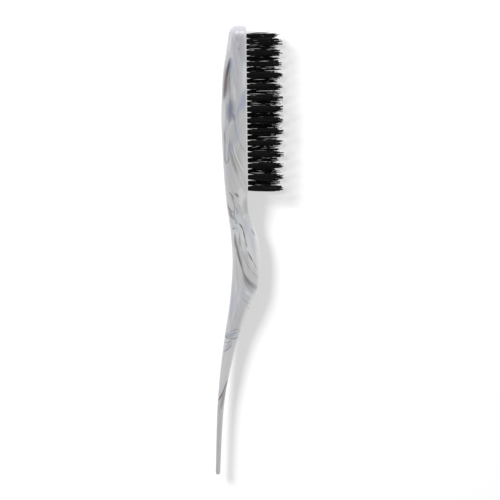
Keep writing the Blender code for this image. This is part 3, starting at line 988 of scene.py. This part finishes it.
    def _side_toned_and_highlighted(self, tree: Tree, melt: Socket) -> Iterator[Layer]:
        """Paints highlights along the back and front edges, where the surface turns away, and pales the
        front half.

        Args:
            tree: the material's tree.
            melt: the place in the flow of the melt.

        Yields:
            Each one's colour: the painted highlights and the paler front.
        """
        across = wire(tree, "ShaderNodeSeparateXYZ", {0: melt}, "X")
        for pale_side in self.side_tones_and_highlights:
            ramp = {"From Min": pale_side.start, "From Max": pale_side.full, "To Max": pale_side.strength}
            amount = wire(tree, "ShaderNodeMapRange", {"Value": across, **ramp}, **SMOOTH)
            yield amount, pale_side.colour

    def _gloss(self, tree: Tree, place: Socket) -> Socket:
        """Draws the mould's polish, a little duller in patches where hands have rubbed it.

        Args:
            tree: the material's tree.
            place: the place on the brush, in mm.

        Returns:
            The roughness.
        """
        grain = {"Vector": place, "Scale": 0.12, "Detail": 4.0, "Roughness": 0.6}
        level = {"Value": wire(tree, "ShaderNodeTexNoise", grain), "From Min": 0.35, "From Max": 0.7}
        rough = {"To Min": self.roughness, "To Max": self.roughness + self.rubbed}
        return wire(tree, "ShaderNodeMapRange", {**level, **rough})

    @staticmethod
    def _relief(tree: Tree, place: Socket) -> Socket:
        """Draws slow ripples of the cooled melt, and the fine witness line where the mould parts.

        Args:
            tree: the material's tree.
            place: the place on the brush, in mm.

        Returns:
            The normal that they give.
        """
        ripples = wire(tree, "ShaderNodeTexNoise", {"Vector": place, "Scale": 0.22, "Detail": 1.0})
        through = wire(tree, "ShaderNodeSeparateXYZ", {0: place}, "Z")
        off_plane = wire(tree, "ShaderNodeMath", {0: through}, operation="ABSOLUTE")
        ramp = {"From Min": 0.14, "From Max": 0.04, "To Max": 0.35}
        line = wire(tree, "ShaderNodeMapRange", {"Value": off_plane, **ramp}, **SMOOTH)
        height = wire(tree, "ShaderNodeMath", {0: ripples, 1: line}, operation="ADD")
        return wire(tree, "ShaderNodeBump", {"Height": height, "Strength": 0.25, "Distance": 0.1 * MM})


@dataclass(frozen=True)
class BlackNylon:
    """Extruded nylon bristle, dyed black: soot black, a touch brown, with a soft sheen on its length."""

    name: str = "black_nylon"
    colour: str = "#040303"
    brown: str = "#0f0807"
    roughness: float = 0.34
    dull: float = 0.6  # roughness of the filaments that took less dye
    ior: float = 1.53
    specular: float = 0.15

    def material(self) -> Material:
        """Builds the material.

        Returns:
            The material, which reads Object coordinates.
        """
        fixed = {"IOR": self.ior, "Specular IOR Level": self.specular}
        made, inputs = begin_material(self.name, fixed)
        tree = made.node_tree
        spot = wire(tree, "ShaderNodeTexCoord", {}, "Object")
        # Some filaments of 0.3 mm took the dye less well than their neighbours.
        spread = wire(tree, "ShaderNodeMapping", {"Vector": spot, "Scale": (60.0, 1500.0, 1500.0)})
        lots = wire(tree, "ShaderNodeTexNoise", {"Vector": spread, "Scale": 1.0, "Detail": 2.0})
        share = wire(tree, "ShaderNodeMapRange", {"Value": lots, "From Min": 0.5, "From Max": 0.7})
        mixed = {SHARE: share, UNDER: linear(self.colour), OVER: linear(self.brown)}
        colour = wire(tree, "ShaderNodeMix", mixed, MIXED, data_type="RGBA")
        tree.links.new(colour, inputs["Base Color"])
        ramp = {"From Min": 0.3, "From Max": 0.7, "To Min": self.roughness, "To Max": self.dull}
        rough = wire(tree, "ShaderNodeMapRange", {"Value": lots, **ramp})
        tree.links.new(rough, inputs["Roughness"])
        return made


@dataclass(frozen=True)
class TinnedWire:
    """Flat steel wire with a thin coat of tin: grey and bright, with drawing lines along its length."""

    name: str = "tinned_steel_wire"
    colour: str = "#b9bbbd"
    polished: float = 0.24  # roughness where a line is smoothest
    roughness: float = 0.44  # and where it is roughest

    def material(self) -> Material:
        """Builds the material.

        Returns:
            The material, which reads Object coordinates.
        """
        fixed = {"Metallic": 1.0, "Base Color": linear(self.colour)}
        made, inputs = begin_material(self.name, fixed)
        tree = made.node_tree
        spot = wire(tree, "ShaderNodeTexCoord", {}, "Object")
        # Drawing lines 0.05 mm apart
        spread = wire(tree, "ShaderNodeMapping", {"Vector": spot, "Scale": (20000.0, 800.0, 800.0)})
        lines = wire(tree, "ShaderNodeTexNoise", {"Vector": spread, "Scale": 1.0, "Detail": 2.0})
        ramp = {"To Min": self.polished, "To Max": self.roughness}
        rough = wire(tree, "ShaderNodeMapRange", {"Value": lines, **ramp})
        tree.links.new(rough, inputs["Roughness"])
        bump = wire(tree, "ShaderNodeBump", {"Height": lines, "Strength": 0.2, "Distance": 0.01 * MM})
        tree.links.new(bump, inputs["Normal"])
        return made


@dataclass(frozen=True)
class LightTable:
    """Opal acrylic lit evenly from below: white wherever the lamp reaches it, pale grey in the shade."""

    name: str = "opal_light_table"
    colour: str = "#404040"
    glow: float = 0.62

    def material(self) -> Material:
        """Builds the material.

        Returns:
            The material, which is the same all over.
        """
        fixed = {"Base Color": linear(self.colour), "Roughness": 1.0, "Specular IOR Level": 0.0}
        fixed |= {"Emission Color": linear("#ffffff"), "Emission Strength": self.glow}
        return begin_material(self.name, fixed)[0]


# --------------------------------------------------------------------------------------- sub-assemblies


@dataclass
class MouldedHandle:
    """The one-piece handle: a sheet rolled round the brush's sections, closed and drilled."""

    sizes: BrushSizes
    datum: Datum
    sides: int = 72
    socket_sides: int = 28
    countersink: float = 0.12
    sharp: float = 32.0  # degrees
    # (stretch of the brush's length in mm, rings in it); the two ends are rounded, and closer
    stretches: tuple[tuple[float, float, int], ...] = (
        (1.15, 52.0, 34),
        (52.0, 136.0, 62),
        (136.0, 150.0, 16),
        (150.0, 217.25, 40),
    )
    tail_rings: int = 10
    tip_rings: int = 26
    tip_gap: float = 0.002  # short of the very tip, where a ring would have no width
    form: HandleForm = field(init=False)

    def __post_init__(self) -> None:
        """Works out the form."""
        self.form = HandleForm(self.sizes)

    def build(self, finish: Material) -> Piece:
        """Models the handle and dresses it.

        Args:
            finish: the plastic's material.

        Returns:
            The finished handle.
        """
        handle = self._rolled_sheet()
        cut_away(handle, self._socket_cutter())
        cut_away(handle, self._slot_cutter())
        settle(handle, self.sharp)
        self._mark_melt(handle)
        handle.data.materials.clear()
        handle.data.materials.append(finish)
        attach(handle, BODY)
        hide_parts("handle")
        return handle

    def _heights(self) -> list[float]:
        """Spaces the rings, closest where the outline turns over.

        Returns:
            Their heights.
        """
        s = self.sizes
        quarter = math.pi / 2
        dome = s.tail_thickness / 2
        turns = [quarter * (n + 0.1) / self.tail_rings for n in range(self.tail_rings)]
        tail = [dome * (1 - math.cos(turn)) for turn in turns]
        body = [low + (high - low) * n / steps for low, high, steps in self.stretches for n in range(steps)]
        turns = [quarter * n / (self.tip_rings - 1) for n in range(self.tip_rings)]
        start, reach = s.total - s.half_width, s.half_width - self.tip_gap
        return tail + body + [start + reach * math.sin(turn) for turn in turns]

    def _rolled_sheet(self) -> Piece:
        """Rolls a grid into a tube whose rings take the handle's sections, and closes both ends.

        Returns:
            The handle without its sockets.
        """
        heights = self._heights()
        last = len(heights) - 1
        handle = begin_piece(
            "marbled_handle",
            bpy.ops.mesh.primitive_grid_add,
            x_subdivisions=self.sides,
            y_subdivisions=last,
            size=2.0,
        )
        sections = [self.form.section(height, self.sides) for height in heights]
        for vert in handle.data.vertices:
            across = round((vert.co.x + 1) / 2 * self.sides)
            ring = round((vert.co.y + 1) / 2 * last)
            x, z = sections[ring][across]
            vert.co = self.datum.at(x, heights[ring], z)
        with editing(handle, "VERT"):
            bpy.ops.mesh.select_all(action="SELECT")
            bpy.ops.mesh.remove_doubles(threshold=1e-7)
            bpy.ops.mesh.select_all(action="DESELECT")
            bpy.ops.mesh.select_non_manifold()
            bpy.ops.mesh.fill_holes(sides=0)
            bpy.ops.mesh.select_all(action="SELECT")
            bpy.ops.mesh.normals_make_consistent(inside=False)
        return handle

    def _socket_cutter(self) -> Piece:
        """Models the round sockets, each a cylinder whose mouth widens at the bristle face.

        Returns:
            All of them as one cutter.
        """
        s = self.sizes
        radius = (s.tuft_diameter / 2 + s.tuft_gap) * MM
        depth = (s.socket_depth - self.countersink) * MM
        cutter = begin_piece(
            "socket_cutter",
            bpy.ops.mesh.primitive_cylinder_add,
            vertices=self.socket_sides,
            radius=radius,
            depth=depth,
            location=(-self.countersink * MM - depth / 2, 0, 0),
            rotation=(0, math.pi / 2, 0),
        )
        wider = 1 + self.countersink * MM / radius
        with editing(cutter) as mesh:
            for face in mesh.faces:
                face.select_set(face.normal.x > 0.9)
            bpy.ops.mesh.extrude_region_move(
                TRANSFORM_OT_translate={"value": (self.countersink * MM, 0, 0)}
            )
            bpy.ops.transform.resize(value=(1, wider, wider))
            bpy.ops.mesh.extrude_region_move(TRANSFORM_OT_translate={"value": (MM, 0, 0)})
        return self._at_sockets(cutter)

    def _slot_cutter(self) -> Piece:
        """Models the slots that the anchors cut in the walls of the sockets as they are driven in.

        Returns:
            All of them as one cutter.
        """
        s = self.sizes
        length, thickness = s.anchor_length + 2 * s.tuft_gap, s.anchor_thickness + s.tuft_gap
        cutter = begin_piece(
            "slot_cutter",
            bpy.ops.mesh.primitive_cube_add,
            size=1.0,
            location=((1 - s.socket_depth) / 2 * MM, 0, 0),
            rotation=(math.radians(s.anchor_turn), 0, 0),
            scale=Vector((1 + s.socket_depth, length, thickness)) * MM,
        )
        return self._at_sockets(cutter)

    def _at_sockets(self, cutter: Piece) -> Piece:
        """Copies a cutter to every socket and removes the first.

        Args:
            cutter: the cutter, with the middle of the socket's mouth at 0.

        Returns:
            The copies, as one object.
        """
        shape = spots(cutter)
        mouths = [np.array(self.datum.at(0, place.y, place.z)) for place in self.sizes.places()]
        cutters = gathered(f"{cutter.name}s", [(cutter, shape + mouth) for mouth in mouths])
        bpy.data.objects.remove(cutter)
        return cutters

    def _mark_melt(self, handle: Piece) -> None:
        """Stores on each point where it lies in the flow of the melt: across, along and through, in mm.

        Across runs from -6 at the back to 6 at the front, however deep the handle is there.

        Args:
            handle: the handle.
        """
        marks = handle.data.attributes.new("melt", "FLOAT_VECTOR", "POINT")
        values = np.empty((len(handle.data.vertices), 3), np.float32)
        for vert, value in zip(handle.data.vertices, values):
            x, y, z = (vert.co - self.datum.zero) / MM
            back, front, _ = self.form.limits(y)
            share = (x - back) / max(0.5, front - back)
            value[:] = 12 * share - 6, y, z
        marks.data.foreach_set("vector", values.ravel())


@dataclass(frozen=True)
class Lock:
    """A bunch that some of a tuft's tips gather in: its place, and how much longer it is, in mm."""

    along: float
    out: float
    longer: float


@dataclass
class BristleTuft:
    """One tuft: nylon filaments folded over a flat wire anchor and driven into a socket."""

    sizes: BrushSizes
    datum: Datum
    filament: float = 0.28  # diameter
    sides: int = 4
    fold_steps: int = 4
    spacing: float = 0.245
    clearance: float = 0.02  # from the anchor to the filaments beside it
    at_mouth: float = 0.05  # how much wider the tuft is at the mouth of its socket than in it
    bulge: float = 0.85  # how much wider the tuft grows once it is out of its socket
    bulge_height: float = 5.0  # how soon it does
    edge_length: float = 13.3
    middle_length: float = 17.7
    inner_row: float = 1.7  # how much shorter the middle row's filaments are
    longest: float = 18.1
    uneven: float = 0.8  # how far the lengths of two filaments differ
    lean: float = 0.26  # how far tips stray sideways
    wave: float = 0.10
    wave_length: Point = (1.2, 2.2)  # shortest and longest, for one radian
    locks: int = 5  # bunches that a tuft's tips gather in
    lock_turn: float = 0.3  # how far a bunch strays round the tuft, as a share of a bunch
    lock_place: Point = (0.38, 0.75)  # nearest and furthest from its middle, as a share of its radius
    lock_uneven: float = 0.7  # how far the lengths of two bunches differ
    gather: float = 0.35  # how far the tips are drawn into their bunch
    sharp: float = 80.0  # degrees
    # Heights of a leg's rings above the bristle face, up to the tip of the pattern
    rings: tuple[float, ...] = (-3.9, 0.0, 2.0, 4.5, 7.0, 9.5, 12.0, 14.2, 16.0)

    def __post_init__(self) -> None:
        """Models the hairpins that every tuft is made of, from the innermost layer out."""
        reach = self.sizes.tuft_diameter / 2 - self.filament / 2
        self.layers: list[tuple[Piece, float, list[float]]] = []
        out = (self.sizes.anchor_thickness + self.filament) / 2 + self.clearance
        while out < reach:
            half = math.sqrt(reach * reach - out * out)
            count = int(2 * half / self.spacing) + 1
            alongs = [half * (2 * n / (count - 1) - 1) for n in range(count)]
            self.layers.append((self._hairpin(out), out, alongs))
            out += self.spacing

    def _hairpin(self, out: float) -> Piece:
        """Models one folded filament: down a leg, round the fold and up the other leg.

        Args:
            out: distance of its legs from the middle of the anchor.

        Returns:
            The hairpin, with X up from the bristle face and its legs at plus and minus out in Z.
        """
        heights = [height * MM for height in reversed(self.rings)]
        hairpin = begin_piece(
            "hairpin",
            bpy.ops.mesh.primitive_circle_add,
            vertices=self.sides,
            radius=self.filament / 2 * MM,
            fill_type="NGON",
            location=(heights[0], 0, out * MM),
            rotation=(0, math.pi / 2, 0),
        )
        steps = [below - above for above, below in zip(heights, heights[1:])]
        fold = {"steps": self.fold_steps, "angle": math.pi, "axis": (0, 1, 0)}
        with editing(hairpin):
            bpy.ops.mesh.select_all(action="SELECT")
            for step in steps:
                bpy.ops.mesh.extrude_region_move(TRANSFORM_OT_translate={"value": (step, 0, 0)})
            bpy.ops.mesh.spin(center=(heights[-1], 0, 0), **fold)
            for step in reversed(steps):
                bpy.ops.mesh.extrude_region_move(TRANSFORM_OT_translate={"value": (-step, 0, 0)})
            bpy.ops.mesh.select_all(action="SELECT")
            bpy.ops.mesh.normals_make_consistent(inside=False)
        return hairpin

    def _locks(self, row: Row, chance: random.Random) -> list[Lock]:
        """Places a tuft's bunches round its middle.

        Args:
            row: the tuft's row. The middle one's bunches are shorter.
            chance: source of the tuft's small differences.

        Returns:
            The bunches.
        """
        shorter = self.inner_row if row is Row.MIDDLE else 0.0
        locks = []
        for n in range(self.locks):
            turn = math.tau * (n + chance.uniform(-self.lock_turn, self.lock_turn)) / self.locks
            far = self.sizes.tuft_diameter / 2 * chance.uniform(*self.lock_place)
            longer = chance.gauss(0, self.lock_uneven) - shorter
            locks.append(Lock(far * math.cos(turn), far * math.sin(turn), longer))
        return locks

    def _posed(
        self, shape: np.ndarray, out: float, along: float, chance: random.Random, locks: list[Lock]
    ) -> np.ndarray:
        """Bends a hairpin to its place in a tuft.

        Args:
            shape: places of the hairpin's points, in mm.
            out: distance of its legs from the middle of the anchor.
            along: its place along the anchor.
            chance: source of the tuft's small differences.
            locks: the tuft's bunches.

        Returns:
            The places of its points in the tuft, in mm.
        """
        posed = shape.copy()
        posed[:, 1] += along
        for side in (1, -1):
            leg = (np.sign(shape[:, 2]) == side) & (shape[:, 0] > self.rings[0] + 0.1)
            foot = np.array((along, side * out))
            lock = min(locks, key=lambda bunch: math.dist((bunch.along, bunch.out), foot))
            rim = math.hypot(*foot) * 2 / self.sizes.tuft_diameter
            full = self.middle_length + (self.edge_length - self.middle_length) * rim * rim
            length = min(self.longest, full + lock.longer + chance.gauss(0, self.uneven))
            height = shape[leg, 0]
            share = np.clip(height / self.rings[-1], 0, 1)
            risen = 1 - np.exp(-np.clip(height, 0, None) / self.bulge_height)
            grow = self.bulge * risen + self.at_mouth
            pull = self.gather * share * share
            phase = height / chance.uniform(*self.wave_length) + chance.uniform(0, math.tau)
            wave = self.wave * np.sin(phase) * share
            for axis, here, aim in ((1, foot[0], lock.along), (2, foot[1], lock.out)):
                lean = chance.gauss(0, self.lean) * share
                wider = here * grow
                gathered_in = (aim - here) * (1 + grow) * pull
                posed[leg, axis] += wider + gathered_in + lean + wave * chance.choice((-1, 1))
            posed[leg, 0] = np.where(height > 0, height * length / self.rings[-1], height)
        return posed

    def build(self, place: TuftPlace, finish: Material) -> Piece:
        """Makes one tuft from its hairpins and dresses it.

        Args:
            place: where it stands.
            finish: the nylon's material.

        Returns:
            The finished tuft.
        """
        chance = random.Random(f"{place.row.value}{place.number}")
        locks = self._locks(place.row, chance)
        turned = np.array(Matrix.Rotation(math.radians(self.sizes.anchor_turn), 3, "X"))
        mouth = np.array(self.datum.at(0, place.y, place.z))
        copies = []
        for pattern, out, alongs in self.layers:
            shape = spots(pattern) / MM
            for along in alongs:
                posed = self._posed(shape, out, along, chance, locks)
                copies.append((pattern, posed @ turned.T * MM + mouth))
        tuft = gathered(f"bristles_{place.tag}", copies)
        settle(tuft, self.sharp)
        tuft.data.materials.append(finish)
        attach(tuft, BODY)
        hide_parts(f"tuft_{place.tag}")
        return tuft

    def put_away(self) -> None:
        """Removes the patterns once every tuft is made."""
        for pattern, _, _ in self.layers:
            bpy.data.objects.remove(pattern)


@dataclass
class WireAnchor:
    """A short length of flat wire, driven edge-on through a tuft's fold into the socket's walls."""

    sizes: BrushSizes
    datum: Datum
    edge_radius: float = 0.05
    sharp: float = 40.0  # degrees

    def build(self, place: TuftPlace, finish: Material) -> Piece:
        """Models one anchor and dresses it.

        Args:
            place: where its tuft stands.
            finish: the wire's material.

        Returns:
            The finished anchor.
        """
        s = self.sizes
        anchor = begin_piece(
            f"anchor_{place.tag}",
            bpy.ops.mesh.primitive_cube_add,
            size=1.0,
            location=self.datum.at(s.anchor_bottom + s.anchor_height / 2, place.y, place.z),
            rotation=(math.radians(s.anchor_turn), 0, 0),
            scale=Vector((s.anchor_height, s.anchor_length, s.anchor_thickness)) * MM,
        )
        with editing(anchor, "EDGE"):
            bpy.ops.mesh.select_all(action="SELECT")
            bpy.ops.mesh.bevel(offset=self.edge_radius * MM, segments=2, affect="EDGES")
        settle(anchor, self.sharp)
        anchor.data.materials.append(finish)
        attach(anchor, BODY)
        return anchor


@dataclass
class Studio:
    """A light table, a soft box, a lamp for the shadow, and a camera straight above the brush."""

    # Width that the camera takes in, in mm, at the height of the brush's middle plane
    view_width: float = 250.6
    camera_height: float = 2.2
    centre: Point = (0.66, 112.4)
    roll: float = -0.64
    # Metres and watts, with the brush at the middle
    table_width: float = 6.0
    table_top: float = -0.00005
    sky: float = 0.80
    box_place: Triple = (-0.1, 1.15, 0.5)
    box_width: float = 0.5
    box_power: float = 4.5
    lamp_place: Triple = (-0.85, 0.58, 1.05)
    lamp_width: float = 0.56
    lamp_power: float = 250.0

    def build(self, datum: Datum) -> None:
        """Makes the table, the lights and the camera.

        Args:
            datum: the brush's zero in the frame.
        """
        table = self._table()
        self._light(table)
        self._camera(datum)

    def _table(self) -> Piece:
        """Makes the wide flat top of the light table, just under the brush.

        Returns:
            The table.
        """
        place = (0, 0, self.table_top)
        plane = bpy.ops.mesh.primitive_plane_add
        table = begin_piece("light_table", plane, size=self.table_width, location=place)
        table.data.materials.append(LightTable().material())
        table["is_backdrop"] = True
        return table

    @staticmethod
    def _soft_light(name: str, place: Triple, width: float, power: float) -> bpy.types.Object:
        """Adds a round soft light that faces the brush.

        Args:
            name: its name.
            place: where it stands.
            width: its diameter.
            power: its power in watts.

        Returns:
            The light.
        """
        data = bpy.data.lights.new(name, "AREA")
        data.shape = "DISK"
        data.size = width
        data.energy = power
        light = bpy.data.objects.new(name, data)
        bpy.context.scene.collection.objects.link(light)
        light.location = place
        light.rotation_euler = (-Vector(place)).to_track_quat("-Z", "Y").to_euler()
        return light

    def _light(self, table: Piece) -> None:
        """Adds an even sky, a soft box beyond the head, and a lamp on the left.

        Args:
            table: the table, which is all that the lamp lights.
        """
        scene = bpy.context.scene
        scene.world = scene.world or bpy.data.worlds.new("studio")
        scene.world.use_nodes = True
        sky = scene.world.node_tree.nodes["Background"]
        sky.inputs["Color"].default_value = linear("#ffffff")
        sky.inputs["Strength"].default_value = self.sky
        box = self._soft_light("soft_box", self.box_place, self.box_width, self.box_power)
        box.visible_camera = False
        lamp = self._soft_light("shadow_lamp", self.lamp_place, self.lamp_width, self.lamp_power)
        lit = bpy.data.collections.new("lit_by_shadow_lamp")
        lit.objects.link(table)
        lamp.light_linking.receiver_collection = lit

    def _camera(self, datum: Datum) -> None:
        """Adds a long lens that looks straight down, with the bristles to the right.

        Args:
            datum: the brush's zero in the frame.
        """
        data = bpy.data.cameras.new("camera")
        data.lens = data.sensor_width * self.camera_height / (self.view_width * MM)
        camera = bpy.data.objects.new("camera", data)
        bpy.context.scene.collection.objects.link(camera)
        camera.location = datum.at(*self.centre, 0.0) + Vector((0, 0, self.camera_height))
        camera.rotation_euler = (0, 0, math.radians(self.roll))
        bpy.context.scene.camera = camera
        bpy.context.scene.view_settings.view_transform = "Standard"


def write_sizes() -> None:
    """Works out the frame's box and the finished model's box, as plain lists of metres, and keeps neither.
    """
    boxes = {"cad": CAD_BOUNDS, "visual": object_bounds()}
    {name: [list(corner) for corner in box] for name, box in boxes.items()}


def main() -> None:
    """Builds the brush piece by piece, then the studio."""
    logging.basicConfig(level=logging.INFO, format="%(message)s")
    sizes = BrushSizes()
    datum = Datum.from_frame(sizes)
    handle = MouldedHandle(sizes, datum).build(MarbledStyrene().material(datum, sizes))
    log.info("%s: %d faces", handle.name, len(handle.data.polygons))
    nylon, tinned = BlackNylon().material(), TinnedWire().material()
    bristles, anchors = BristleTuft(sizes, datum), WireAnchor(sizes, datum)
    for place in sizes.places():
        tuft = bristles.build(place, nylon)
        anchor = anchors.build(place, tinned)
        log.info("%s: %d faces, held by %s", tuft.name, len(tuft.data.polygons), anchor.name)
    bristles.put_away()
    Studio().build(datum)
    write_sizes()


if __name__ == "__main__":
    main()
